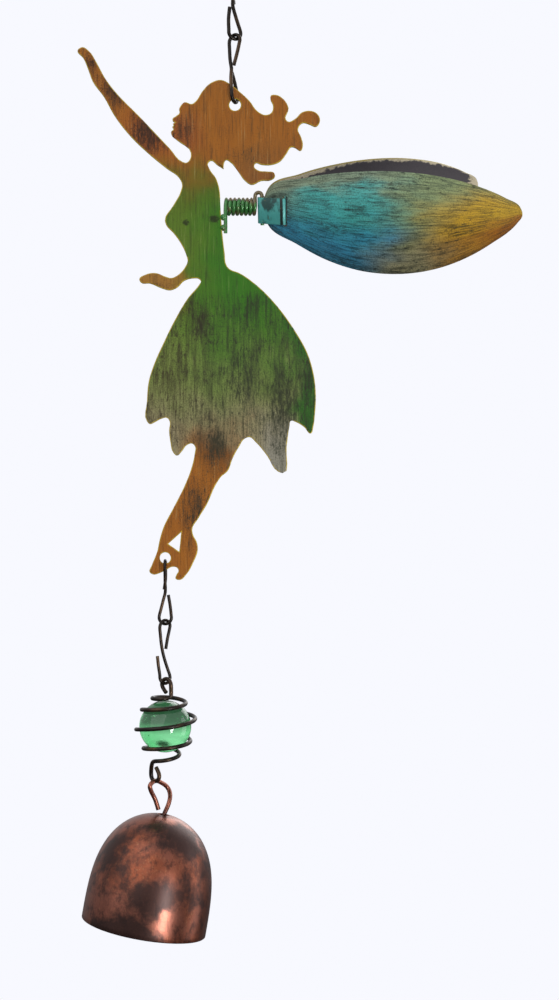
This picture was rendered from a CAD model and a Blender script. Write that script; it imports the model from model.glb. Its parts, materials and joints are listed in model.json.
# %% [markdown]
# # A hanging fairy with sprung wings
# The real thing is a garden ornament: a flat steel figure hangs on a wire chain, two dished wings sit on
# a spring behind it, and a marble in a wire cage and a small bell hang from its foot. The sizes and
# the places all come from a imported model, the frame, which is loaded here and never changed. Each piece of
# the frame is then stood for by a finer one.

# %% Load the frame
import json
from math import asin, cos, degrees, pi, radians, sin, sqrt

import bpy
from mathutils import Matrix, Vector, noise


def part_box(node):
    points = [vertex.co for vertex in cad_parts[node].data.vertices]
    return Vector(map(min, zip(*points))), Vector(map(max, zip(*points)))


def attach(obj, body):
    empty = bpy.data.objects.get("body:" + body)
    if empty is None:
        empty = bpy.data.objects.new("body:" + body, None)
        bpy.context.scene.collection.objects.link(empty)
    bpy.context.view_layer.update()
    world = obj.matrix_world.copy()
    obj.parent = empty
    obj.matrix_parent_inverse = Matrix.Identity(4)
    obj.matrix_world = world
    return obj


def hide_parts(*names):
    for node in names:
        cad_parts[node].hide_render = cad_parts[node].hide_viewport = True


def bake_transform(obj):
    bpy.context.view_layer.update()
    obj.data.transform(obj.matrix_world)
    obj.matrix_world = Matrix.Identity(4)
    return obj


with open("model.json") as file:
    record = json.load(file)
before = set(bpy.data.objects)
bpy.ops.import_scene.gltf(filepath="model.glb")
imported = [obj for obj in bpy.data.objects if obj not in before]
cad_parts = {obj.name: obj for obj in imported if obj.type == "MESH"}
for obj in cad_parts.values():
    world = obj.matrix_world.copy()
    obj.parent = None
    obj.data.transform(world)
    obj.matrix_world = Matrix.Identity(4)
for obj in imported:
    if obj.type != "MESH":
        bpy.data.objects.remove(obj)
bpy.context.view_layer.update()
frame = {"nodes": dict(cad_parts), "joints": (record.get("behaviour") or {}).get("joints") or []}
pivots = {joint["name"]: Vector(joint["pos_m"]) for joint in frame["joints"]}
print("joints:", sorted(pivots))

# %% [markdown]
# ## The camera
# It stands level with the middle of the chain, 0.6 m off, as someone who holds the ornament up would see
# it. A long lens keeps the flat figure flat. Lens and distance are chosen together: at 0.6 m a 70 mm
# lens takes in 0.31 m of height.

# %% Camera
MM = 0.001
scene = bpy.context.scene
camera = bpy.data.objects.new("camera", bpy.data.cameras.new("camera"))
scene.collection.objects.link(camera)
camera.location = Vector((13.7, -600, -182.7)) * MM
camera.rotation_euler = (pi / 2, 0, 0)
camera.data.lens = 70.1
camera.data.clip_start = 0.01
scene.camera = camera
scene.view_settings.view_transform = "Standard"
print("camera sees", round(36 / camera.data.lens * 0.6, 3), "m of height")

# %% [markdown]
# ## Small helpers
# Everything selected is worked on by the next operator, and loading the frame leaves its nodes selected,
# so each piece starts from an empty selection. The helpers below are used by every piece: one picks an
# object alone, one works in edit mode on the faces or edges that a test picks, and one hands a finished
# piece over to its body.


# %% Helpers for pieces
def pick(piece):
    """Makes piece the only selected object, and the active one."""
    bpy.ops.object.select_all(action="DESELECT")
    piece.select_set(True)
    bpy.context.view_layer.objects.active = piece
    return piece


def added(name):
    """Names the object that the last operator added, and returns it."""
    piece = bpy.context.object
    piece.name = piece.data.name = name
    return piece


def with_modifier(piece, kind, **settings):
    """Adds a modifier and applies it."""
    pick(piece)
    modifier = piece.modifiers.new(kind, kind)
    for key, value in settings.items():
        setattr(modifier, key, value)
    bpy.ops.object.modifier_apply(modifier=modifier.name)
    return piece


def soften_edges(piece, width, angle=50, segments=2):
    """Rounds the edges sharper than angle, and shades the rest smooth."""
    with_modifier(piece, "BEVEL", width=width, segments=segments, limit_method="ANGLE",
                  angle_limit=radians(angle))
    pick(piece)
    bpy.ops.object.shade_smooth_by_angle(angle=radians(35))
    return piece


def place(piece, matrix):
    """Moves a piece by a matrix and writes its place into its mesh."""
    pick(piece)
    piece.matrix_world = matrix
    bpy.ops.object.transform_apply(location=True, rotation=True, scale=True)
    return piece


def hand_over(piece, body, slot, *nodes):
    """The finished piece rides on its body and stands for its frame nodes."""
    if body:
        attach(piece, body)
    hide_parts(*nodes)
    print(piece.name, len(piece.data.polygons), "faces,",
          [round(d / MM, 1) for d in piece.dimensions], "mm")
    return piece


# %% [markdown]
# ## Lines for bent wire
# Every wire here was bent from a straight piece, so its shape is one line in space. A few points give the
# bends, and a smooth curve joins them. The direction at a point leans towards its nearer neighbour, which
# keeps tight bends round. Lengths are in millimetres while a shape is worked out.


# %% Lines and curves
def on_circle(radius, angle):
    return Vector((radius * cos(radians(angle)), radius * sin(radians(angle))))


def ease(t):
    t = max(0, min(1, t))
    return t * t * (3 - 2 * t)


def between(a, b, count):
    """count + 1 numbers from a to b."""
    return [a + (b - a) * k / count for k in range(count + 1)]


def heading(a, b, c):
    return ((b - a).normalized() * (c - b).length + (c - b).normalized() * (b - a).length).normalized()


def curved(points, steps, closed=False):
    """A smooth line through points. Steps is the number of pieces between two of them."""
    points = [Vector(p) for p in points]
    count = len(points)
    line = []
    for i in range(count if closed else count - 1):
        a, b = points[i], points[(i + 1) % count]
        run = (b - a).length
        first, last = i == 0 and not closed, i == count - 2 and not closed
        out = (b - a).normalized() if first else heading(points[i - 1], a, b)
        into = (b - a).normalized() if last else heading(a, b, points[(i + 2) % count])
        for k in range(steps):
            t = k / steps
            line.append((2 * t**3 - 3 * t**2 + 1) * a + (t**3 - 2 * t**2 + t) * run * out
                        + (3 * t**2 - 2 * t**3) * b + (t**3 - t**2) * run * into)
    return line if closed else line + [points[-1]]


def evened(line):
    """Takes small kinks out of a line."""
    return [p if i in (0, len(line) - 1) else (line[i - 1] + 2 * p + line[i + 1]) / 4
            for i, p in enumerate(line)]


# %% [markdown]
# ## Materials: how a brushed paint is built
# The colours on the real thing are lacquers that run into each other, dragged over with a nearly dry
# dark brush, so the marks follow the brush: fine light and dark hairlines, and clusters of short
# dark dashes. A picture of it can't be used, so nodes draw it. Noise that is stretched along the brush
# gives hairlines and dashes, and a larger noise says where the dashes gather. The recipe below writes
# such node trees with one short line a node. All of it reads Object coordinates or a piece's own UV map,
# so the paint stays on a piece that moves as a whole. The spring bends, and its paint does slide.


# %% The material recipe
def paint(red, green, blue):
    """A colour from its screen values, 0 to 255."""
    return tuple(c / 12.92 if c <= 0.04045 else ((c + 0.055) / 1.055) ** 2.4
                 for c in (red / 255, green / 255, blue / 255)) + (1,)


class Recipe:
    """A material, written node by node."""

    def __init__(self, name):
        self.material = bpy.data.materials.new(name)
        self.material.use_nodes = True
        self.tree = self.material.node_tree
        self.shader = self.tree.nodes["Principled BSDF"]
        self.place = self.node("TexCoord").outputs["Object"]

    def node(self, kind, inputs=None, **settings):
        node = self.tree.nodes.new("ShaderNode" + kind)
        for key, value in settings.items():
            setattr(node, key, value)
        for key, value in (inputs or {}).items():
            self.feed(node.inputs[key], value)
        return node

    def feed(self, socket, value):
        if isinstance(value, bpy.types.NodeSocket):
            self.tree.links.new(value, socket)
        else:
            socket.default_value = value

    def calc(self, operation, a, b=0.0, c=0.0):
        return self.node("Math", {0: a, 1: b, 2: c}, operation=operation).outputs[0]

    def rise(self, value, low, high):
        """0 below low, 1 above high, and smooth between. Low above high falls instead."""
        return self.node("MapRange", {0: value, 1: low, 2: high},
                         interpolation_type="SMOOTHSTEP").outputs[0]

    def both(self, *values):
        total = values[0]
        for value in values[1:]:
            total = self.calc("MULTIPLY", total, value)
        return total

    def either(self, *values):
        total = values[0]
        for value in values[1:]:
            total = self.calc("MAXIMUM", total, value)
        return total

    def blend(self, share, a, b, how="MIX"):
        """Colour a, going to b as share goes from 0 to 1."""
        return self.node("Mix", {0: share, 6: a, 7: b}, data_type="RGBA",
                         blend_type=how).outputs[2]

    def stretched(self, where, scale, turn=(0, 0, 0), shift=(0, 0, 0)):
        return self.node("Mapping", {"Vector": where, "Scale": scale, "Rotation": turn,
                                     "Location": shift}).outputs[0]

    def noise(self, where, scale=1.0, detail=3.0, rough=0.5, w=None):
        inputs = {"Vector": where, "Scale": scale, "Detail": detail, "Roughness": rough}
        if w is not None:
            inputs["W"] = w
        return self.node("TexNoise", inputs,
                         noise_dimensions="3D" if w is None else "4D").outputs["Fac"]

    def parts(self, vector):
        return self.node("SeparateXYZ", {0: vector}).outputs

    def spot(self, where, middle, size):
        """1 at middle, fading to 0 over size, an ellipsoid, in the units of where."""
        inverse = [1 / s for s in size]
        offset = self.node("VectorMath", {0: where, 1: middle}, operation="SUBTRACT").outputs[0]
        scaled = self.node("VectorMath", {0: offset, 1: inverse}, operation="MULTIPLY").outputs[0]
        length = self.node("VectorMath", {0: scaled}, operation="LENGTH").outputs["Value"]
        return self.rise(length, 1, 0)

    def bumped(self, height, distance, strength=1.0, under=None):
        inputs = {"Height": height, "Distance": distance, "Strength": strength}
        if under is not None:
            inputs["Normal"] = under
        return self.node("Bump", inputs).outputs[0]

    def done(self, **inputs):
        """Feeds the shader: its inputs' names, in lower case with underscores."""
        names = {s.name.lower().replace(" ", "_"): s for s in self.shader.inputs}
        for key, value in inputs.items():
            self.feed(names[key], value)
        return self.material


# %% [markdown]
# ## Dark wire
# The chain and the cage are steel wire, blackened and waxed. It isn't even: the wax is thin in
# places and the brown of the steel comes through, brighter where links rub. Fine noise breaks up its
# gloss, so that the highlight along the wire isn't a clean white line.


# %% Dark wire
def dark_wire_finish():
    r = Recipe("blackened_wire")
    grain = r.noise(r.place, 2400, 4, 0.6)
    thin = r.noise(r.stretched(r.place, (1, 1, 0.6)), 260, 3, 0.55)
    colour = r.blend(r.rise(thin, 0.45, 0.75), paint(36, 31, 28), paint(84, 64, 46))
    colour = r.blend(r.rise(grain, 0.62, 0.8), colour, paint(110, 90, 68))
    rough = r.node("MapRange", {0: grain, 3: 0.22, 4: 0.45}).outputs[0]
    return r.done(base_color=colour, roughness=rough, metallic=0.75,
                  normal=r.bumped(grain, 0.00002, 0.4))


wire_finish = dark_wire_finish()
print("made", wire_finish.name)

# %% [markdown]
# ## Bending wire
# A curve object with a bevel depth sweeps a circle along a line, which is what a wire is. Turned into a
# mesh, its two cut ends are flat with sharp rims, and a small bevel rounds them as a file would.


# %% Bent wire
WIRE_STEPS = 3


def bent_wire(name, line, diameter, finish):
    """A round wire along line, in millimetres, as a mesh in metres."""
    bpy.ops.object.select_all(action="DESELECT")
    bpy.ops.curve.primitive_nurbs_path_add(location=(0, 0, 0))
    wire = added(name)
    curve = wire.data
    curve.splines.clear()
    line = curved(line, WIRE_STEPS)
    spline = curve.splines.new("POLY")
    spline.points.add(len(line) - 1)
    for point, place_at in zip(spline.points, line):
        point.co = (*(place_at * MM), 1)
    curve.dimensions = "3D"
    curve.bevel_depth = diameter / 2 * MM
    curve.bevel_resolution = 4
    curve.use_fill_caps = True
    bpy.ops.object.convert(target="MESH")
    wire = added(name)
    wire.data.materials.clear()
    wire.data.materials.append(finish)
    soften_edges(wire, 0.16 * MM, angle=60)
    return wire


# %% [markdown]
# ## The top hook
# An open bend that goes over a nail or twig, a long back, and a small eye that carries the chain. The bend
# is a part circle and so is the eye, and one curve joins them. The hook's middle is the origin.

# %% Hook
HOOK_WIRE = 1.8
hook_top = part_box("hanging_hook")[1].z / MM - HOOK_WIRE / 2 - 6
hook_low = pivots["link_1_swing"].z / MM
eye_middle = hook_low + 3.4
hook_line = [Vector((6.9, hook_top - 2.6))]
hook_line += [Vector((0, hook_top)) + on_circle(6, a) for a in between(-5, 180, 14)]
for k in range(1, 10):
    t = k / 10
    drop = hook_top - eye_middle
    across = (2 * t**3 - 3 * t**2 + 1) * -6 + (3 * t**2 - 2 * t**3) * 3.4
    down = hook_top - drop * t
    hook_line.append(Vector((across, down)))
hook_line += [Vector((0, eye_middle)) + on_circle(3.4, a) for a in between(0, -205, 14)]
hook = bent_wire("top_hook", [(p.x, 0, p.y) for p in hook_line], HOOK_WIRE, wire_finish)
hand_over(hook, "hook", "dark_wire", "hanging_hook")

# %% [markdown]
# ## Chain links
# Each link is one wire bent to a figure of eight: a straight leg, a round end, back across the middle,
# and the same again below, with both cut ends beside the crossing. The wires that meet lie across
# each other, so the planes of a link's two ends are turned. One function bends all four.


# %% Links
LINK_END = 2.0
LINK_TWIST = 5


def half_link(half, end):
    """Sideways and up: from the cut end beside the crossing round the top and back to the crossing."""
    middle = half - LINK_END
    lean = degrees(asin(LINK_END / middle))
    arc = [Vector((0, middle)) + on_circle(LINK_END, a) for a in between(-lean, 180 + lean, 10)]
    end = Vector(end)
    return [end, (end + arc[0]) / 2, *arc, *[arc[-1] * (1 - k / 5) for k in range(1, 5)]]


def chain_link(name, node, wire, planes, belly, ends, body):
    """planes are the directions of the upper and lower end about the vertical, in degrees."""
    low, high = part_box(node)
    half = (high.z - low.z) / 2 / MM - wire / 2
    middle_z = (high.z + low.z) / 2 / MM
    middle_x = 0 if node < "chain_link_3" else pivots["link_3_swing"].x / MM
    top, bottom = half_link(half, ends[0]), half_link(half, ends[1])
    line = []
    for p in top + [Vector((0, 0))] + [-q for q in reversed(bottom)]:
        angle = radians(planes[1] + (planes[0] - planes[1]) * ease(p.y / LINK_TWIST + 0.5))
        aside = belly * (1 - (p.y / half) ** 2) ** 2
        line.append((middle_x + p.x * cos(angle) + aside, p.x * sin(angle), middle_z + p.y))
    link = bent_wire(name, line, wire, wire_finish)
    return hand_over(link, body, "dark_wire", node)


chain_link("link_top", "chain_link_1", 1.15, (100, 25), -0.7, ((1.35, 0.7), (1.35, 0.7)), "link_1")
chain_link("link_head", "chain_link_2", 1.15, (-35, -115), -1.1, ((1.35, 0.8), (1.35, 0.8)), "link_2")
chain_link("link_foot", "chain_link_3", 1.0, (90, 165), 0, ((1.2, 0.8), (1.2, 0.8)), "link_3")
chain_link("link_cage", "chain_link_4", 1.0, (42, 42), -0.8, ((1.2, 0.8), (2.1, 1.2)), "link_4")

# %% [markdown]
# ## The dry brush
# The figure and the wings have the same four marks, so one function makes them. Hairlines are faint and
# run everywhere. Haze is a soft dark streak, dashes are short and nearly black, and grit is fine specks.
# All but the hairlines need a zone, a number that says where the brush was pressed: it is added to the
# noise before the threshold, so the marks thin out towards the zone's edge and never end on a line.


# %% Dry brush
def dry_brushed(r, colour, mm, along, zone, ink, side=None, hair_ink=0.4):
    """Colour with marks dragged over it along an axis of mm, and the relief that they leave."""
    def marks(width, length, detail):
        scale = [1 / width] * 3
        scale[along] = 1 / length
        return r.noise(r.stretched(mm, tuple(scale)), 1, detail, 0.66, side)
    hair, haze, dash = marks(0.45, 12, 4), marks(0.8, 9, 5), marks(0.6, 2, 5)
    gather = r.noise(mm, 0.2, 3, 0.5, side)
    pressed = r.calc("MULTIPLY_ADD", gather, 0.7, zone)
    worn = r.blend(0.6, colour, paint(190, 186, 130))
    colour = r.blend(r.both(r.rise(hair, 0.56, 0.74), 0.28), colour, worn)
    colour = r.blend(r.both(r.rise(hair, 0.49, 0.30), hair_ink), colour, ink)
    haze = r.rise(r.calc("MULTIPLY_ADD", pressed, 0.24, haze), 0.62, 0.94)
    colour = r.blend(r.both(haze, 0.74), colour, ink)
    dashes = r.rise(r.calc("MULTIPLY_ADD", pressed, 0.22, dash), 0.73, 0.88)
    colour = r.blend(r.both(dashes, 0.80), colour, ink)
    grit = r.rise(r.calc("MULTIPLY_ADD", pressed, 0.2, r.noise(mm, 2.1, 3, 0.7, side)), 0.64, 0.82)
    colour = r.blend(r.both(grit, 0.5), colour, ink)
    return colour, r.calc("MULTIPLY_ADD", dashes, 0.7, hair)


# %% [markdown]
# ## The figure's paint
# The figure is one flat sheet, so its colours are a map of where you are on it: orange-brown for skin and
# hair, green for the dress, and a tired grey-green towards the hem. The lacquers were sprayed, so
# they run into each other over a few millimetres. Positions are in millimetres from the hole in the
# head. Then come the brush marks, which all run up and down, the scorch marks where the spring was
# welded on, and the cut edge, which is bare and golden.

# %% Figure paint
head = Vector((0, 0, pivots["figure_swing"].z / MM - 0.85))
PRESSED = [((15, -93), (12, 34), 0.72), ((3, -84), (17, 28), 0.62), ((-10, -68), (9, 14), 0.75),
           ((6, -62), (14, 8), 0.62), ((22, -86), (7, 24), 0.7), ((-6, -105), (8, 14), 0.8),
           ((-12, -124), (9, 20), 0.62), ((-15, -85), (14, 20), 0.42), ((-16, -8), (7, 9), 0.5),
           ((-26, -8), (13, 12), 0.85), ((-37, 5), (12, 12), 0.65), ((-45, 13), (6, 7), 0.6),
           ((-2, -20), (6, 6), 0.35), ((4, -16), (14, 7), 0.35), ((-22, -56), (9, 3), 0.4)]


def figure_finish():
    r = Recipe("brushed_figure_paint")
    mm = r.stretched(r.place, (1000, 1000, 1000), shift=tuple(-head))
    x, y, z = r.parts(mm)
    drift = r.calc("SUBTRACT", r.noise(mm, 0.11, 3), 0.5)
    drift_z = r.calc("MULTIPLY_ADD", drift, 16, z)
    drift_x = r.calc("MULTIPLY_ADD", drift, 14, x)
    cloud = r.noise(r.stretched(mm, (1, 1, 0.5)), 0.2, 4)

    skin = r.blend(cloud, paint(150, 92, 24), paint(130, 74, 20))
    skin = r.blend(r.both(r.spot(mm, (-15, 0, -9), (8, 9, 11)), 0.75), skin, paint(124, 62, 26))
    skin = r.blend(r.both(r.spot(mm, (-27, 0, -10), (15, 9, 15)), 0.6), skin, paint(142, 66, 24))
    nape = r.both(r.rise(drift_z, -8, -22), r.rise(x, -2, 5), 0.7)
    skin = r.blend(nape, skin, paint(116, 74, 34))
    dress = r.blend(r.rise(drift_x, -17, -3), paint(78, 104, 26), paint(48, 102, 18))
    dress = r.blend(r.rise(drift_z, -34, -19), dress, paint(86, 84, 18))
    skirt = r.blend(r.rise(drift_x, -22, -4), paint(94, 116, 42), paint(62, 106, 24))
    skirt = r.blend(r.rise(drift_x, 11, 21), skirt, paint(38, 94, 18))
    dress = r.blend(r.rise(drift_z, -58, -72), dress, skirt)
    sage = r.blend(r.rise(drift_z, -84, -104), paint(110, 120, 64), paint(134, 124, 92))
    hem = r.both(r.rise(drift_z, -64, -98), r.rise(drift_x, 22, 15))
    dress = r.blend(hem, dress, sage)
    points = r.both(r.rise(drift_z, -90, -108), r.rise(x, 6, 11), r.rise(x, 20, 16))
    dress = r.blend(points, dress, paint(128, 124, 110))
    below_neck = r.both(r.rise(drift_z, -13, -28),
                        r.either(r.rise(x, 1, -3), r.rise(z, -25, -27)))
    hand = r.both(r.rise(drift_x, -11, -21), r.rise(z, -66, -60), r.rise(z, -44, -49))
    legs = r.both(r.rise(drift_z, -94, -108), r.rise(drift_x, 5, -3), r.rise(x, -19, -12))
    feet = r.both(r.rise(z, -108, -112), r.rise(x, 10, 7))
    skin = r.blend(hand, skin, paint(142, 100, 40))
    skin = r.blend(r.both(r.spot(mm, (-5, 0, -104), (11, 9, 13)), 0.8), skin, paint(84, 52, 26))
    colour = r.blend(r.either(r.calc("SUBTRACT", 1, below_neck), hand, legs, feet), dress, skin)

    zone = r.both(r.rise(z, -54, -64), r.rise(z, -116, -98), 0.5)
    zone = r.calc("ADD", zone, 0.12)
    for (at_x, at_z), (wide, high), press in PRESSED:
        area = r.both(r.spot(mm, (at_x, 0, at_z), (wide, 90, high)), press * 1.4)
        zone = r.calc("MAXIMUM", area, zone)
    ink = r.blend(r.rise(x, -30, 5), paint(44, 28, 18), paint(38, 42, 26))
    colour, relief = dry_brushed(r, colour, mm, 2, zone, ink, hair_ink=0.5)
    scorch = r.either(r.spot(mm, (-15.1, 0, -36.2), (2.6, 9, 2.4)),
                      r.spot(mm, (-6.4, 0, -35.2), (4.4, 9, 3)))
    crust = r.noise(mm, 1.5, 5, 0.8)
    colour = r.blend(r.both(r.rise(r.calc("MULTIPLY", scorch, crust), 0.26, 0.44), 0.85), colour,
                     paint(34, 38, 20))

    border = r.node("Attribute", attribute_name="border").outputs["Fac"]
    edge = r.both(r.rise(border, 0.1, 0.7), r.rise(r.noise(mm, 0.5, 3), 0.3, 0.5), 0.8)
    brass = r.blend(r.noise(mm, 1.3, 3), paint(206, 184, 66), paint(158, 132, 40))
    colour = r.blend(edge, colour, brass)
    relief = r.calc("MULTIPLY_ADD", r.both(scorch, crust), 2.5, relief)
    return r.done(base_color=colour, roughness=r.calc("MULTIPLY_ADD", relief, 0.2, 0.34),
                  metallic=r.calc("MULTIPLY", edge, 0.5), specular_ior_level=0.2,
                  normal=r.bumped(relief, 0.00008, 0.5))


figure_paint = figure_finish()
print("made", figure_paint.name)

# %% [markdown]
# ## The figure
# The frame already holds the cut sheet, so its mesh is copied. An imported mesh is loose triangles: they
# are merged, and the flat triangles are dissolved into whole faces. Both flat sides are inset a
# little, and an attribute says which points are on the border: the paint reads it to leave the border
# golden. Then a small bevel rounds the cut edges, which is what catches the light on a real sheet.

# %% Figure
pick(frame["nodes"]["fairy_plate"])
bpy.ops.object.duplicate()
figure = added("figure_sheet")
figure.parent = None
for key in list(figure.keys()):
    del figure[key]
bpy.ops.object.mode_set(mode="EDIT")
bpy.ops.mesh.select_all(action="SELECT")
bpy.ops.mesh.remove_doubles(threshold=0.002 * MM)
bpy.ops.mesh.dissolve_limited(angle_limit=radians(0.6), delimit=set())
bpy.ops.mesh.select_all(action="DESELECT")
bpy.ops.mesh.select_mode(type="FACE")
bpy.ops.object.mode_set(mode="OBJECT")
for face in figure.data.polygons:
    face.select = abs(face.normal.y) > 0.9
bpy.ops.object.mode_set(mode="EDIT")
bpy.ops.mesh.inset(thickness=0.42 * MM, use_boundary=True, use_even_offset=True)
bpy.ops.object.mode_set(mode="OBJECT")
bpy.context.tool_settings.mesh_select_mode = (True, False, False)
border = figure.data.attributes.new("border", "FLOAT", "POINT")
inside = {index for face in figure.data.polygons if face.select for index in face.vertices}
for vertex in figure.data.vertices:
    border.data[vertex.index].value = 0 if vertex.index in inside else 1
print("on the border:", len(figure.data.vertices) - len(inside))
figure.data.materials.clear()
figure.data.materials.append(figure_paint)
soften_edges(figure, 0.24 * MM, angle=60)
with_modifier(figure, "TRIANGULATE")
hand_over(figure, "figure", "figure_paint", "fairy_plate")

# %% [markdown]
# ## Wing paint
# The same brushed lacquer, but laid along the wing: teal at the root, blue along the lower edge, khaki
# above, gold and then orange-brown at the tip. A wing is curved, so a map of plain positions would slide
# off it. Each wing gets a UV map when its grid is made: U runs from root to tip and V from the lower
# edge to the upper one, and the marks follow those. Inside, the sheet is nearly black with a
# bare tan border, and its rim is golden.


# %% Wing paints
WING_SIZE = (82, 30, 1)


def wing_marks(r):
    """The wing's own coordinates and brush marks."""
    uv = r.node("UVMap").outputs[0]
    u, v, _ = r.parts(uv)
    mm = r.stretched(uv, WING_SIZE)
    side = r.calc("MULTIPLY", r.calc("GREATER_THAN", r.parts(r.place)[1], 0), 7.3)
    return u, v, mm, side


def wing_finish():
    r = Recipe("brushed_wing_paint")
    u, v, mm, side = wing_marks(r)
    drift = r.calc("SUBTRACT", r.noise(r.stretched(mm, (0.35, 1, 1)), 0.16, 4, 0.55, side), 0.5)
    du = r.calc("MULTIPLY_ADD", drift, 0.30, u)
    dv = r.calc("MULTIPLY_ADD", drift, 0.7, v)
    teal = r.blend(r.rise(dv, 0.15, 0.72), paint(58, 138, 170), paint(66, 164, 158))
    teal = r.blend(r.rise(dv, 0.24, 0.0), teal, paint(56, 122, 150))
    colour = r.blend(r.both(r.rise(dv, 0.74, 1.0), 0.8), teal, paint(136, 140, 106))
    dull_root = r.both(r.rise(u, 0.20, 0.02), r.rise(v, 0.25, 0.8), 0.85)
    colour = r.blend(dull_root, colour, paint(126, 136, 110))
    khaki = r.blend(r.rise(dv, 0.1, 0.6), paint(148, 142, 106), paint(132, 148, 102))
    low_first = r.calc("MULTIPLY_ADD", r.rise(v, 0.5, 0.0), 0.12, du)
    colour = r.blend(r.rise(low_first, 0.42, 0.66), colour, khaki)
    gold = r.blend(r.rise(dv, 0.66, 0.18), paint(200, 160, 44), paint(174, 124, 44))
    gold = r.blend(r.both(r.rise(dv, 0.55, 0.15), r.rise(du, 0.76, 0.96)), gold, paint(170, 104, 30))
    high_last = r.calc("MULTIPLY_ADD", r.rise(v, 0.6, 1.0), -0.16, du)
    colour = r.blend(r.both(r.rise(high_last, 0.56, 0.80), r.rise(dv, 1.2, 0.8)), colour, gold)

    gather = r.noise(r.stretched(mm, (0.4, 1, 1)), 0.2, 3, 0.5, side)
    grime = r.both(r.rise(u, 0.18, 0.08), r.rise(v, 0.12, 0.3), r.rise(v, 0.9, 0.7))
    zone = r.either(r.both(r.rise(v, 0.24, 0.02), 0.75), r.both(r.rise(v, 0.76, 0.97), 0.62),
                    r.both(r.rise(gather, 0.46, 0.66), 0.78), r.both(grime, 0.8), 0.56)
    ink = paint(24, 34, 30)
    colour, relief = dry_brushed(r, colour, mm, 0, zone, ink, side, hair_ink=1.0)
    scrub = r.noise(r.stretched(mm, (1.5, 1.2, 1)), 1.0, 4, 0.7, side)
    scrubbed = r.both(r.rise(scrub, 0.57, 0.67), r.rise(gather, 0.50, 0.60))
    colour = r.blend(r.both(scrubbed, 0.45), colour, ink)
    return r.done(base_color=colour, roughness=r.calc("MULTIPLY_ADD", relief, 0.2, 0.30),
                  metallic=0.1, specular_ior_level=0.3, normal=r.bumped(relief, 0.00008, 0.5))


def wing_lining():
    r = Recipe("wing_lining")
    u, v, mm, side = wing_marks(r)
    mottle = r.noise(mm, 0.5, 4, 0.6, side)
    border = r.calc("ABSOLUTE", r.calc("MULTIPLY_ADD", v, 2, -1))
    ends = r.either(r.rise(u, 0.88, 1.0), r.rise(u, 0.05, 0.01))
    border = r.calc("MULTIPLY_ADD", r.rise(u, 0.4, 0.1), 0.09, border)
    bare = r.either(r.rise(r.calc("MULTIPLY_ADD", mottle, 0.3, border), 1.10, 1.15),
                    r.rise(r.calc("MULTIPLY_ADD", mottle, 1.2, ends), 1.25, 1.45))
    grain = r.noise(mm, 2.4, 4, 0.6, side)
    dark = r.blend(grain, paint(50, 46, 52), paint(76, 70, 72))
    tan = r.blend(grain, paint(150, 136, 112), paint(200, 190, 160))
    return r.done(base_color=r.blend(bare, dark, tan), metallic=0.3,
                  roughness=r.calc("MULTIPLY_ADD", grain, 0.2, 0.45),
                  normal=r.bumped(r.calc("MULTIPLY_ADD", bare, -0.8, grain), 0.00006, 0.6))


def rim_finish():
    r = Recipe("golden_cut_edge")
    grain = r.noise(r.place, 1200, 4, 0.6)
    return r.done(base_color=r.blend(grain, paint(180, 160, 76), paint(96, 88, 48)), metallic=0.6,
                  roughness=r.calc("MULTIPLY_ADD", grain, 0.25, 0.3),
                  normal=r.bumped(grain, 0.00004, 0.5))


wing_paint, lining, golden_rim = wing_finish(), wing_lining(), rim_finish()
print("made", wing_paint.name, lining.name, golden_rim.name)

# %% [markdown]
# ## The wings
# A wing is a leaf cut from sheet and dished: bowed along its length and rounded more tightly across. That
# is part of a ring, so a grid of faces is laid on a ring's surface, between the leaf's lower and upper
# edge. Its columns are crowded towards the two ends, where the edge turns fastest. A wall is then
# grown inwards, a corner of the root is cut away to clear the other wing, and the slot for the clip is
# punched with a Boolean.

# %% Leaf shape
BOW, DISH, SHEET = 300, 32, 0.8
LEAF = [(0, 5), (12, 8.6), (26, 10.7), (41, 11.4), (55.5, 10.4), (69, 7.6), (77, 4.6), (81.3, 2.2),
        (82.1, -0.2), (80.6, -2.6), (72.8, -8.8), (62.6, -14.4), (52, -17.9), (41, -19.4), (30, -18.8),
        (19.5, -15.9), (10, -11.4), (0, -5.6)]
BOW_MIDDLE, LEAF_UP, DISH_UP = 41, 0.1, -3.1
leaf_edge = [p + Vector((0, LEAF_UP)) for p in curved(LEAF, 12, closed=True)]


def leaf_limits(x):
    """Lower and upper edge of the leaf at a distance from its root."""
    heights = []
    for a, b in zip(leaf_edge, leaf_edge[1:] + leaf_edge[:1]):
        if (a.x - x) * (b.x - x) <= 0 and a.x != b.x:
            heights.append(a.y + (b.y - a.y) * (x - a.x) / (b.x - a.x))
    return min(heights), max(heights)


def on_dish(x, z):
    """The dished sheet's outer face at a place on the leaf."""
    centre = BOW - (BOW - sqrt(BOW**2 - BOW_MIDDLE**2))
    ring = BOW - DISH + sqrt(DISH**2 - (z - DISH_UP) ** 2)
    return Vector((x, centre - sqrt(ring**2 - (x - BOW_MIDDLE) ** 2), z))


print("leaf height at 41 mm:", [round(z, 1) for z in leaf_limits(41)])

# %% [markdown]
# ## How the wings sit
# One frame places the pair at the clip. In it each wing is turned away from the middle by the splay.

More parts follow.
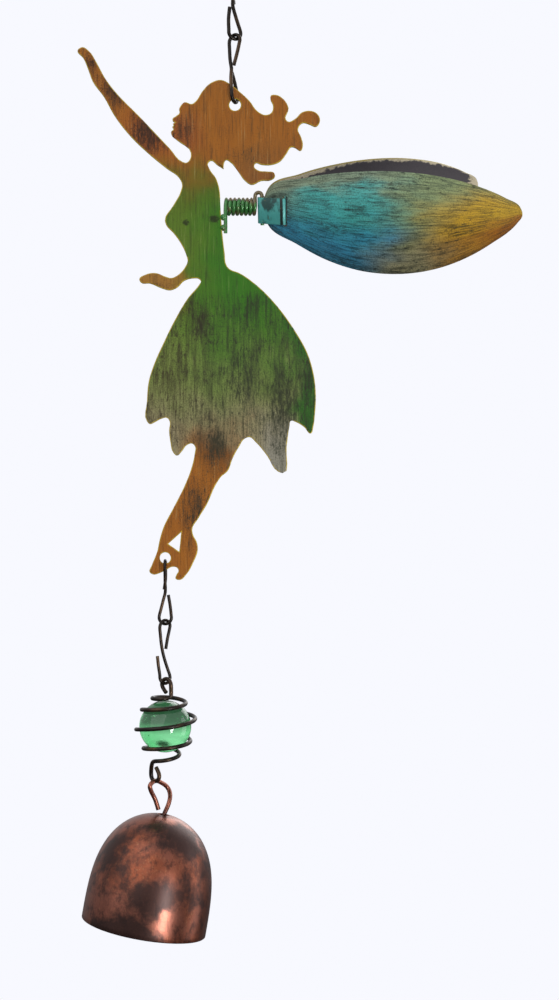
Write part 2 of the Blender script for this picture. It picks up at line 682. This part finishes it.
# %% Wing frame
clip_at = Vector((8.3, -0.3, pivots["wings_bob"].z / MM))
SPLAY, ROLL, PITCH, YAW = 37, 15, 2, 3
LEAF_ROOT, ROOT_IN, ROOT_SLOPE = 2.3, 0.6, degrees(asin(BOW_MIDDLE / BOW))
pair_frame = (Matrix.Translation(clip_at * MM) @ Matrix.Rotation(radians(YAW), 4, "Z")
              @ Matrix.Rotation(radians(-PITCH), 4, "Y") @ Matrix.Rotation(radians(ROLL), 4, "X"))
leaf_frame = (Matrix.Rotation(radians(-SPLAY), 4, "Z")
              @ Matrix.Translation(Vector((LEAF_ROOT, -ROOT_IN, 0)) * MM)
              @ Matrix.Rotation(radians(ROOT_SLOPE), 4, "Z"))
print("wings at", [round(c, 1) for c in clip_at], "mm, splayed by", SPLAY, "degrees")

# %% [markdown]
# ## One wing
# The grid is moved onto the dish. The wall, the cut between the wings and the slot follow in turn.

# %% Front wing
COLUMNS, ROWS = 72, 28
bpy.ops.object.select_all(action="DESELECT")
bpy.ops.mesh.primitive_grid_add(x_subdivisions=COLUMNS, y_subdivisions=ROWS, size=1)
wing = added("wing_near")
ends = (min(p.x for p in leaf_edge) + 0.005, max(p.x for p in leaf_edge) - 0.005)
uv = wing.data.uv_layers.active or wing.data.uv_layers.new(name="UVMap")
for vertex in wing.data.vertices:
    u, v = vertex.co.x + 0.5, vertex.co.y + 0.5
    x = ends[0] + (ends[1] - ends[0]) * (1 - cos(pi * u)) / 2
    low, high = leaf_limits(x)
    vertex.co = on_dish(x, low + (high - low) * v) * MM
for loop in wing.data.loops:
    spot = wing.data.vertices[loop.vertex_index].co / MM
    low, high = leaf_limits(max(ends[0], min(ends[1], spot.x)))
    uv.data[loop.index].uv = (spot.x / WING_SIZE[0], (spot.z - low) / max(high - low, 0.01))
for material in (wing_paint, lining, golden_rim):
    wing.data.materials.append(material)
if sum(p.normal.y * p.area for p in wing.data.polygons) > 0:
    wing.data.flip_normals()
with_modifier(wing, "SOLIDIFY", thickness=SHEET * MM, offset=-1, use_even_offset=True, material_offset=1,
              material_offset_rim=2)
place(wing, leaf_frame)
PAIR_GAP = 0.9
bpy.ops.object.mode_set(mode="EDIT")
bpy.ops.mesh.select_all(action="SELECT")
bpy.ops.mesh.bisect(plane_co=(0, -PAIR_GAP / 2 * MM, 0), plane_no=(0, 1, 0), use_fill=True,
                    clear_outer=True)
bpy.ops.object.mode_set(mode="OBJECT")
bpy.ops.object.select_all(action="DESELECT")
bpy.ops.mesh.primitive_cube_add(size=1)
punch = added("slot_punch")
slot_near, slot_far, slot_height = 7.75, 9.5, 9.2
place(punch, Matrix.Rotation(radians(-SPLAY), 4, "Z")
      @ Matrix.Translation(Vector(((slot_near + slot_far) / 2, -ROOT_IN, -1.4)) * MM)
      @ Matrix.Diagonal(Vector((slot_far - slot_near, 6, slot_height)) * MM).to_4x4())
with_modifier(punch, "BEVEL", width=0.5 * MM, segments=3)
with_modifier(wing, "BOOLEAN", object=punch, operation="DIFFERENCE", solver="EXACT")
bpy.data.objects.remove(punch)
soften_edges(wing, 0.12 * MM, angle=50)

# %% [markdown]
# ## The pair
# The far wing is the near one mirrored. Mirroring turns its faces inside out, so they are flipped.

# %% Both wings in place
pick(wing)
bpy.ops.object.duplicate()
far_wing = added("wing_far")
place(far_wing, Matrix.Scale(-1, 4, (0, 1, 0)))
far_wing.data.flip_normals()
place(wing, pair_frame)
place(far_wing, pair_frame)
hand_over(wing, "wing_front", "wing_paint", "wing_front")
hand_over(far_wing, "wing_rear", "wing_paint", "wing_rear")

# %% [markdown]
# ## The clip
# The two wings hang on a strip bent over the top of the spring: it folds round the wire, runs out
# along both wings and ends in a roll that goes through their slots. Half of its line is drawn, the other
# half is its mirror, and the line is extruded upwards and given the thickness of sheet. Its paint is
# the wings' teal, rubbed off where the strip is folded.


# %% Clip paint
FOLD, ROLLED, ARM, STRIP = 1.05, 1.15, 7.6, 0.6
STRIP_LOW, STRIP_HIGH = -5.4, 2.6
along, aside = on_circle(1, -SPLAY), on_circle(1, -SPLAY - 90)
half = [on_circle(FOLD, a) for a in between(180, 180 + 90 - SPLAY, 10)]
arm_end = half[-1] + ARM * along
half += [half[-1].lerp(arm_end, t) for t in (0.25, 0.5, 0.75, 0.97)]
middle = arm_end - ROLLED * aside


def clip_finish():
    r = Recipe("clip_teal_paint")
    back = pair_frame.inverted()
    local = r.stretched(r.place, (1, 1, 1), turn=back.to_euler(), shift=back.translation)
    grain = r.noise(r.place, 1500, 5, 0.65)
    cloud = r.noise(r.place, 330, 3, 0.6)
    colour = r.blend(cloud, paint(60, 140, 138), paint(84, 168, 160))
    pressed = r.spot(r.place, tuple((clip_at + Vector((2.2, -2, 0.2))) * MM), (0.0042, 0.009, 0.0042))
    smudge = r.noise(r.stretched(r.place, (1, 1, 0.5)), 420, 4, 0.7)
    smudge = r.rise(r.calc("MULTIPLY_ADD", pressed, 0.4, smudge), 0.52, 0.72)
    seams = [arm_end + 0.3 * along, middle + ROLLED * along]
    seam = r.either(*(r.spot(local, (p.x * MM, p.y * sign * MM, 0), (1.0 * MM, 1.0 * MM, 1))
                      for p in seams for sign in (1, -1)))
    seam = r.rise(r.calc("MULTIPLY_ADD", grain, 0.5, seam), 0.55, 0.95)
    colour = r.blend(r.either(r.both(smudge, 0.85), seam), colour, paint(26, 38, 36))
    colour = r.blend(r.both(r.rise(grain, 0.62, 0.75), 0.6), colour, paint(170, 160, 90))
    return r.done(base_color=colour, metallic=0.2, roughness=r.calc("MULTIPLY_ADD", grain, 0.3, 0.25),
                  normal=r.bumped(grain, 0.00006, 0.6))


clip_paint = clip_finish()
print("made", clip_paint.name)

# %% [markdown]
# ## Folding the clip
# The roll is added to the half line, and its mirror makes the whole. Solidify gives the sheet.

# %% Clip
half += [middle + ROLLED * (cos(radians(a)) * aside + sin(radians(a)) * along) for a in between(0, 180, 14)]
half.append(middle - ROLLED * aside - 1.2 * along)
line = [Vector((p.x, -p.y)) for p in reversed(half[1:])] + half
bpy.ops.object.select_all(action="DESELECT")
bpy.ops.curve.primitive_nurbs_path_add(location=(0, 0, 0))
clip = added("clip_strip")
clip.data.splines.clear()
spline = clip.data.splines.new("POLY")
spline.points.add(len(line) - 1)
for point, p in zip(spline.points, line):
    point.co = (p.x * MM, p.y * MM, STRIP_LOW * MM, 1)
bpy.ops.object.convert(target="MESH")
clip = added("clip_strip")
bpy.ops.object.mode_set(mode="EDIT")
bpy.ops.mesh.select_all(action="SELECT")
strip_height = (STRIP_HIGH - STRIP_LOW) * MM
bpy.ops.mesh.extrude_region_move(TRANSFORM_OT_translate={"value": (0, 0, strip_height)})
bpy.ops.object.mode_set(mode="OBJECT")
with_modifier(clip, "SOLIDIFY", thickness=STRIP * MM, offset=0, use_even_offset=True)
bpy.ops.object.mode_set(mode="EDIT")
bpy.ops.mesh.select_all(action="SELECT")
bpy.ops.mesh.normals_make_consistent(inside=False)
bpy.ops.object.mode_set(mode="OBJECT")
clip.data.materials.clear()
clip.data.materials.append(clip_paint)
soften_edges(clip, 0.1 * MM, angle=60)
place(clip, pair_frame)
hand_over(clip, "wings", "wing_paint", "wing_clip")

# %% [markdown]
# ## The spring
# Seven turns of wire. Its first leg is welded to the figure, and its last one runs up through the fold of
# the clip. It was sprayed green along with the dress, but paint doesn't hold on a spring: it is brown
# where the turns have rubbed. The weld beads are lumps, so they start as spheres and noise
# pushes their surface about.


# %% Spring paint
def spring_finish():
    r = Recipe("spring_paint")
    grain = r.noise(r.place, 1400, 4, 0.65)
    cloud = r.noise(r.place, 260, 3, 0.6)
    height = r.parts(r.place)[2]
    middle_z = clip_at.z * MM
    worn = r.calc("ADD", cloud, r.both(r.rise(height, middle_z, middle_z + 3 * MM), 0.22))
    colour = r.blend(cloud, paint(40, 104, 50), paint(66, 124, 58))
    colour = r.blend(r.rise(worn, 0.52, 0.68), colour, paint(98, 84, 54))
    colour = r.blend(r.rise(grain, 0.56, 0.70), colour, paint(30, 36, 20))
    return r.done(base_color=colour, metallic=0.35, roughness=r.calc("MULTIPLY_ADD", grain, 0.3, 0.14),
                  coat_weight=0.4, coat_roughness=0.15, normal=r.bumped(grain, 0.00005, 0.5))


spring_paint = spring_finish()
print("made", spring_paint.name)

# %% [markdown]
# ## Winding the spring
# Evenly stepped turns from the figure to the clip, then a crook over the fold.

# %% Spring
COIL, TURNS, SPRING_WIRE = 2.25, 7, 1.2
leg = Vector((-2.9, -0.3, clip_at.z))
coil_y = leg.y + COIL
coil_end = clip_at.x - 2.1
line = [leg + Vector((0, 0, -8.5)), leg + Vector((0, 0, -4.25))]
TURN_POINTS = 16
count = TURN_POINTS * TURNS
for k in range(count + 1):
    turn = radians(180 - 360 / TURN_POINTS * k)
    line.append(Vector((leg.x + (coil_end - leg.x) * k / count, coil_y + COIL * cos(turn),
                        leg.z + COIL * sin(turn))))
crook = 2.9
line.append(Vector((coil_end, leg.y, leg.z + crook / 2)))
for k in range(7):
    p = on_circle(FOLD, 180 - 30 * k)
    line.append(Vector((clip_at.x - FOLD + p.x, leg.y - crook * sin(radians(ROLL)) * k / 6,
                        leg.z + crook + p.y)))
for low in (-3, -6):
    line.append((pair_frame @ Vector((0, 0, low * MM))) / MM)
spring = bent_wire("wing_coil", line, SPRING_WIRE, spring_paint)
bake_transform(spring)
hand_over(spring, None, "spring_paint", "wing_spring")

# %% [markdown]
# ## Weld beads
# Each bead is a stretched sphere, roughened by fractal noise with its own seed, and the two are joined.

# %% Weld beads
beads = []
for drop, seed in ((3.6, 2), (6.8, 7)):
    bpy.ops.object.select_all(action="DESELECT")
    bpy.ops.mesh.primitive_uv_sphere_add(segments=36, ring_count=24, radius=0.78 * MM)
    bead = added("weld_bead")
    place(bead, Matrix.Translation(Vector((-3.65, -0.3, clip_at.z - drop)) * MM)
          @ Matrix.Diagonal((1.1, 1.0, 1.25, 1)))
    for vertex in bead.data.vertices:
        lump = noise.fractal(vertex.co / MM * 1.3 + Vector((seed, 0, 0)), 0.6, 2.0, 4)
        vertex.co += vertex.normal * lump * 0.13 * MM
    beads.append(bead)
pick(beads[0])
beads[1].select_set(True)
bpy.ops.object.join()
welds = added("weld_beads")
welds.data.materials.append(spring_paint)
bpy.ops.object.shade_smooth()
hand_over(welds, "figure", "spring_paint", "spring_welds")

# %% [markdown]
# ## The cage
# One wire wound round the marble: a small eye above, four turns that open out and close in again,
# and a small eye below. The list says how far each half turn is from the upright axis, and how high.

# %% Cage
CAGE_TURNS = [(1.8, 9.7), (3.2, 8.7), (4.3, 8.6), (5.4, 8.5), (6.9, 7.2), (7.4, 5.9), (7.75, 5.2), (9, 3.9),
              (10, 2.4), (9.9, 0.4), (9.65, -0.9), (9.15, -2.8), (8.3, -4.7), (7.5, -6.1), (7.3, -6.7),
              (5.8, -7.1), (4.6, -8.8), (4.3, -10.1), (4.2, -10.7)]
marble_at = pivots["marble_spin"] / MM


def small_eye(x, z, plane, start, stop):
    ring = [on_circle(2.05, a) for a in between(start, stop, 10)]
    across = on_circle(1, plane)
    return [Vector((x + p.x * across.x, p.x * across.y, z + p.y)) for p in ring]


coil = []
for k, (radius, height) in enumerate(curved([Vector(p) for p in CAGE_TURNS], 4)):
    flat = on_circle(radius, -22.5 * k)
    coil.append(Vector((flat.x, flat.y, height)))
line = ([Vector((0.3, -0.2, 10.4))] + small_eye(0.35, 12.7, -40, 205, -25) + coil
        + small_eye(-3.1, -15, -45, 160, 385) + [Vector((-2.8, -0.3, -12.6))])
cage = bent_wire("cage_wire", [marble_at + p for p in evened(evened(line))], 1.3, wire_finish)
hand_over(cage, "cage", "dark_wire", "marble_cage")

# %% [markdown]
# ## The marble
# Clear green glass with a few bubbles. Glass shows what is behind it upside down, so the marble looks
# dark above and bright below under a bright sky, and the world further down is made to suit.
# A bubble is a small inside-out sphere in the glass: light that crosses it leaves the glass and enters
# it again.


# %% Glass
def glass_finish():
    r = Recipe("green_glass")
    swirl = r.noise(r.stretched(r.place, (1, 1, 0.5), turn=(0.4, 0.3, 0)), 120, 3, 0.5)
    tint = r.blend(r.rise(swirl, 0.35, 0.7), paint(132, 218, 156), paint(70, 186, 104))
    scuffs = r.noise(r.place, 1300, 5, 0.7)
    return r.done(base_color=tint, transmission_weight=1.0, ior=1.5,
                  roughness=r.node("MapRange", {0: scuffs, 1: 0.55, 2: 0.8, 3: 0.07, 4: 0.2}).outputs[0],
                  normal=r.bumped(scuffs, 0.00002, 0.3))


glass = glass_finish()
bpy.ops.object.select_all(action="DESELECT")
bpy.ops.mesh.primitive_uv_sphere_add(segments=128, ring_count=64, radius=8 * MM, location=marble_at * MM)
marble = added("glass_ball")
place(marble, marble.matrix_world.copy())
marble.data.materials.append(glass)
bpy.ops.object.shade_smooth()
parts = [marble]
for offset, radius in (((-2.6, -1.5, 2.4), 0.34), ((1.9, -3.2, -0.8), 0.26), ((3.6, 0.8, 1.9), 0.2),
                       ((-3.9, -2.4, -2.0), 0.16), ((0.8, -4.4, 3.3), 0.14)):
    bpy.ops.object.select_all(action="DESELECT")
    bpy.ops.mesh.primitive_uv_sphere_add(segments=24, ring_count=16, radius=radius * MM)
    bubble = added("bubble")
    place(bubble, Matrix.Translation((marble_at + Vector(offset)) * MM))
    bubble.data.flip_normals()
    bubble.data.materials.append(glass)
    bpy.ops.object.shade_smooth()
    parts.append(bubble)
pick(marble)
for bubble in parts[1:]:
    bubble.select_set(True)
bpy.ops.object.join()
hand_over(marble, "marble", "marble_glass", "glass_marble")

# %% [markdown]
# ## Old copper
# The bell and its hanger are copper-plated and artificially aged: black blotches, a pinkish bloom and fine
# vertical scratches. The blotches come from noise that is bent by another noise, which makes
# their outlines ragged. The inside was never polished.


# %% Copper
# where the bell is sooty: from its crown in mm, how far in m, and how strongly
crown = pivots["bell_spin"] / MM
SOOT = [((7, -12, -6), (0.014, 0.02, 0.011), 1.0), ((13, -12, -16), (0.011, 0.02, 0.014), 0.5),
        ((-11, -18, -36), (0.016, 0.02, 0.011), 2.0), ((0, 0, 0), (0.007, 0.007, 0.004), 0.8),
        ((-2, -18, -22), (0.01, 0.02, 0.012), 0.75), ((-13, -12, -12), (0.013, 0.02, 0.015), 0.7),
        ((6, 14, -22), (0.016, 0.02, 0.014), 0.9), ((-14, 12, -8), (0.011, 0.02, 0.011), 0.7)]


def copper_finish(name, inside=False):
    r = Recipe(name)
    bend = r.node("TexNoise", {"Vector": r.place, "Scale": 140, "Detail": 3}).outputs["Color"]
    where = r.node("VectorMath", {0: bend, 1: (0.006, 0.006, 0.006), 2: r.place},
                   operation="MULTIPLY_ADD").outputs[0]
    cloud = r.noise(where, 95, 5, 0.65)
    grain = r.noise(r.place, 1500, 4, 0.6)
    scratches = r.noise(r.stretched(r.place, (1, 1, 0.06)), 1600, 3, 0.6)
    bloom = r.noise(r.place, 60, 3, 0.5)
    colour = r.blend(r.rise(bloom, 0.36, 0.66), paint(142, 76, 50), paint(146, 90, 74))
    colour = r.blend(r.both(r.rise(grain, 0.54, 0.75), 0.6), colour, paint(172, 120, 86))
    soot = r.either(*(r.both(r.spot(r.place, tuple((crown + Vector(at)) * MM), tuple(size)), press)
                      for at, size, press in SOOT))
    aged = r.rise(r.calc("MULTIPLY_ADD", soot, 0.34, cloud), 0.46, 0.72)
    colour = r.blend(r.both(aged, 0.88), colour, paint(44, 36, 36))
    mottle = r.noise(r.stretched(r.place, (1, 1, 0.6)), 420, 5, 0.7)
    colour = r.blend(r.both(r.rise(mottle, 0.50, 0.66), 0.62), colour, paint(52, 38, 36))
    colour = r.blend(r.both(r.rise(scratches, 0.60, 0.72), 0.4), colour, paint(60, 44, 38))
    if inside:
        colour = r.blend(0.72, colour, paint(44, 34, 28))
    rough = r.calc("MULTIPLY_ADD", aged, 0.14, 0.25)
    rough = r.calc("MULTIPLY_ADD", grain, 0.14, rough)
    relief = r.calc("MULTIPLY_ADD", aged, -0.5, r.calc("MULTIPLY_ADD", scratches, 0.6, grain))
    return r.done(base_color=colour, metallic=1.0, roughness=rough, coat_weight=0.25, coat_roughness=0.3,
                  normal=r.bumped(relief, 0.00005, 0.5))


copper, copper_inside = copper_finish("aged_copper"), copper_finish("aged_copper_inside", inside=True)
print("made", copper.name, copper_inside.name)

# %% [markdown]
# ## The bell
# A thin cup, pressed from sheet. A profile, drawn as a chain of edges from the crown's hole to the
# mouth, is turned once round the upright axis with spin. The wall is then grown inwards, and the inner
# faces get the second material. The mouth's rim is rounded with a bevel.

# %% Bell
BELL_R, BELL_H, WALL, CROWN_HOLE, BELL_LEAN = 19.3, 35, 1.0, 1.75, 10
print("crown at", [round(c, 2) for c in crown])
profile = []
for k in range(33):
    down = 1 - cos(radians(90 * k / 32))
    radius = BELL_R * sqrt(max(0, 1 - (1 - down) ** 3.2))
    if radius > CROWN_HOLE:
        profile.append((radius, -down * BELL_H))
profile.insert(0, (CROWN_HOLE, 0))
bpy.ops.object.select_all(action="DESELECT")
bpy.ops.mesh.primitive_plane_add(size=1 * MM)
bell = added("bell_cup")
bpy.ops.object.mode_set(mode="EDIT")
bpy.ops.mesh.select_all(action="SELECT")
bpy.ops.mesh.delete(type="VERT")
bpy.ops.object.mode_set(mode="OBJECT")
bell.data.vertices.add(len(profile))
bell.data.edges.add(len(profile) - 1)
for k, (radius, height) in enumerate(profile):
    bell.data.vertices[k].co = (radius * MM, 0, height * MM)
    if k:
        bell.data.edges[k - 1].vertices = (k - 1, k)
bpy.ops.object.mode_set(mode="EDIT")
bpy.ops.mesh.select_all(action="SELECT")
bpy.ops.mesh.spin(steps=128, angle=2 * pi, center=(0, 0, 0), axis=(0, 0, 1))
bpy.ops.mesh.select_all(action="SELECT")
bpy.ops.mesh.remove_doubles(threshold=0.001 * MM)
bpy.ops.mesh.normals_make_consistent(inside=False)
bpy.ops.object.mode_set(mode="OBJECT")
if sum(p.normal.x * p.center.x + p.normal.y * p.center.y for p in bell.data.polygons) < 0:
    bell.data.flip_normals()
bell.data.materials.append(copper)
bell.data.materials.append(copper_inside)
with_modifier(bell, "SOLIDIFY", thickness=WALL * MM, offset=-1, use_even_offset=True, material_offset=1)
soften_edges(bell, 0.22 * MM, angle=50, segments=3)
place(bell, Matrix.Translation(crown * MM) @ Matrix.Rotation(radians(BELL_LEAN), 4, "Y"))
hand_over(bell, "bell", "aged_copper", "bell_shell")

# %% [markdown]
# ## Hanger and clapper
# The hanger is a hook of thicker copper wire that goes down through the crown and ends in a ring inside. The
# clapper hangs on that ring: an eye, a straight stem and a ball.

# %% Hanger
hanger_at = Vector((-24.6, 0, pivots["hanger_swing"].z / MM))
HANGER = [(1, -8.8), (0, -5.6), (-1.3, -2.6), (-1.5, -1.1), (0, 0.1), (1.9, -0.8), (3.6, -2.4), (4.5, -4.5),
          (4.2, -6.8), (3.1, -9.4), (2.2, -11.8), (2.1, -13.2)]
flat = curved([Vector(p) for p in HANGER], 4)
flat += [Vector((1.4, -15.6)) + on_circle(1.9, a) for a in between(60, -240, 12)]
line = [Vector((p.x, p.x * ease((p.y + 7) / 5.5), p.y)) for p in flat]
hanger = bent_wire("bell_hook", [hanger_at + p for p in evened(line)], 1.4, copper)
hand_over(hanger, "hanger", "aged_copper", "bell_hanger")

# %% Clapper
ring_at = pivots["clapper_swing"] / MM
line = [Vector((0, p.x, p.y - 1.6)) for p in (on_circle(1.6, a) for a in between(-60, 230, 12))]
line += [Vector((0, 0, z)) for z in (-4.1, -5.2, -23)]
stem = bent_wire("clapper_stem", [ring_at + p for p in line], 1.0, copper)
hand_over(stem, "clapper", "dark_wire", "clapper_wire")

# %% [markdown]
# ## Dulled steel and the clapper's ball
# Bare steel with a little rust in the larger patches of its noise.


# %% Steel
def steel_finish():
    r = Recipe("dulled_steel")
    grain = r.noise(r.place, 1300, 4, 0.6)
    cloud = r.noise(r.place, 300, 4, 0.6)
    colour = r.blend(cloud, paint(140, 136, 130), paint(96, 88, 80))
    colour = r.blend(r.rise(cloud, 0.6, 0.72), colour, paint(92, 66, 46))
    return r.done(base_color=colour, metallic=1.0, roughness=r.calc("MULTIPLY_ADD", grain, 0.3, 0.22),
                  normal=r.bumped(grain, 0.00004, 0.5))


steel = steel_finish()
print("made", steel.name)

# %% Clapper ball
bpy.ops.object.select_all(action="DESELECT")
bpy.ops.mesh.primitive_uv_sphere_add(segments=64, ring_count=40, radius=4 * MM)
ball = added("clapper_bob")
place(ball, Matrix.Translation(ring_at * MM + Vector((0, 0, -23 * MM))))
ball.data.materials.append(steel)
bpy.ops.object.shade_smooth()
hand_over(ball, "clapper", "clapper_steel", "clapper_ball")

# %% [markdown]
# ## The stage and the light
# A pale studio: one wide floor far below, which fades out towards its edge, so that no horizon shows.
# The world that the camera sees is even and pale. The world that metal and glass reflect is not: it is
# bright above and dark below, which gives them something to show, and brighter again for rays that
# went through the glass. A large soft light at the upper left is the key, and a small one low on
# the right draws the streak down the bell. A fill and a side light soften the right side, and a rim
# light edges the figure from behind. The fill is left out of reflections, and the rim light can't be
# seen through the glass.

# %% Stage
bpy.ops.object.select_all(action="DESELECT")
bpy.ops.mesh.primitive_circle_add(vertices=96, radius=0.85, fill_type="NGON", location=(0, 0, -0.75))
floor = added("floor")
r = Recipe("pale_floor")
grain = r.noise(r.place, 9, 4)
pale = r.done(base_color=r.blend(grain, (0.84, 0.855, 0.91, 1), (0.9, 0.91, 0.96, 1)), roughness=0.9,
              specular_ior_level=0.1)
reach = r.node("VectorMath", {0: r.place, 1: (0, 0, 0.75)}, operation="ADD").outputs[0]
reach = r.node("VectorMath", {0: reach}, operation="LENGTH").outputs["Value"]
clear = r.node("BsdfTransparent").outputs[0]
faded = r.node("MixShader", {0: r.rise(reach, 0.25, 0.8), 1: r.shader.outputs[0], 2: clear}).outputs[0]
r.feed(r.tree.nodes["Material Output"].inputs["Surface"], faded)
floor.data.materials.append(pale)
print("floor ready,", round(floor.dimensions.x, 2), "m across")

# %% World
# how bright the reflected world is, from straight down (0) to straight up (1)
SKY = [(0.001, 0.25), (0.2, 0.10), (0.40, 0.14), (0.50, 0.5), (0.56, 0.8), (0.999, 1.0)]
world = bpy.data.worlds.new("studio")
scene.world = world
world.use_nodes = True
tree = world.node_tree
tree.nodes.clear()
seen, lit, coordinates, split, ramp, height, path, mixed, brighter, output = (
    tree.nodes.new("ShaderNode" + kind) for kind in (
        "Background", "Background", "TexCoord", "SeparateXYZ", "ValToRGB", "MapRange", "LightPath",
        "MixShader", "Math", "OutputWorld"))
seen.inputs["Color"].default_value = (0.938, 0.947, 1.0, 1)
height.inputs[1].default_value, height.inputs[2].default_value = -1, 1
for place_at, shade in SKY:
    stop = ramp.color_ramp.elements.new(place_at)
    stop.color = (shade, shade, shade * 1.03, 1)
for k in (len(SKY) + 1, 0):
    ramp.color_ramp.elements.remove(ramp.color_ramp.elements[k])
brighter.operation = "MULTIPLY_ADD"
brighter.inputs[1].default_value, brighter.inputs[2].default_value = 0.6, 0.7
for start, end in ((coordinates.outputs["Generated"], split.inputs[0]),
                   (split.outputs[2], height.inputs[0]), (height.outputs[0], ramp.inputs[0]),
                   (ramp.outputs[0], lit.inputs["Color"]),
                   (path.outputs["Is Transmission Ray"], brighter.inputs[0]),
                   (brighter.outputs[0], lit.inputs["Strength"]),
                   (path.outputs["Is Camera Ray"], mixed.inputs[0]),
                   (lit.outputs[0], mixed.inputs[1]), (seen.outputs[0], mixed.inputs[2]),
                   (mixed.outputs[0], output.inputs[0])):
    tree.links.new(start, end)
print("world ready")


# %% Lights
def area_light(name, place_at, target, size, power, colour=(1, 1, 1)):
    data = bpy.data.lights.new(name, "AREA")
    data.shape = "RECTANGLE"
    data.size, data.size_y = size
    data.energy, data.color = power, colour
    lamp = bpy.data.objects.new(name, data)
    scene.collection.objects.link(lamp)
    lamp.location = place_at
    lamp.rotation_euler = (Vector(target) - Vector(place_at)).to_track_quat("-Z", "Y").to_euler()
    return lamp


centre = (0, 0, -0.17)
area_light("key", (-0.6, -0.8, 0.42), centre, (1.5, 1.5), 7.2)
area_light("streak", (0.37, -0.6, -0.40), (-0.02, -0.018, -0.308), (0.18, 0.28), 2.9)
fill = area_light("fill", (0.7, -0.35, -0.1), centre, (0.7, 0.8), 2.3, (0.95, 0.97, 1))
fill.visible_glossy = False
area_light("side", (0.85, 0.12, -0.25), centre, (0.4, 0.9), 1.8, (0.95, 0.97, 1))
rim = area_light("rim", (0.35, 0.7, 0.2), centre, (0.7, 0.7), 3)
rim.visible_transmission = False
print("lights:", [light.name for light in bpy.data.lights])
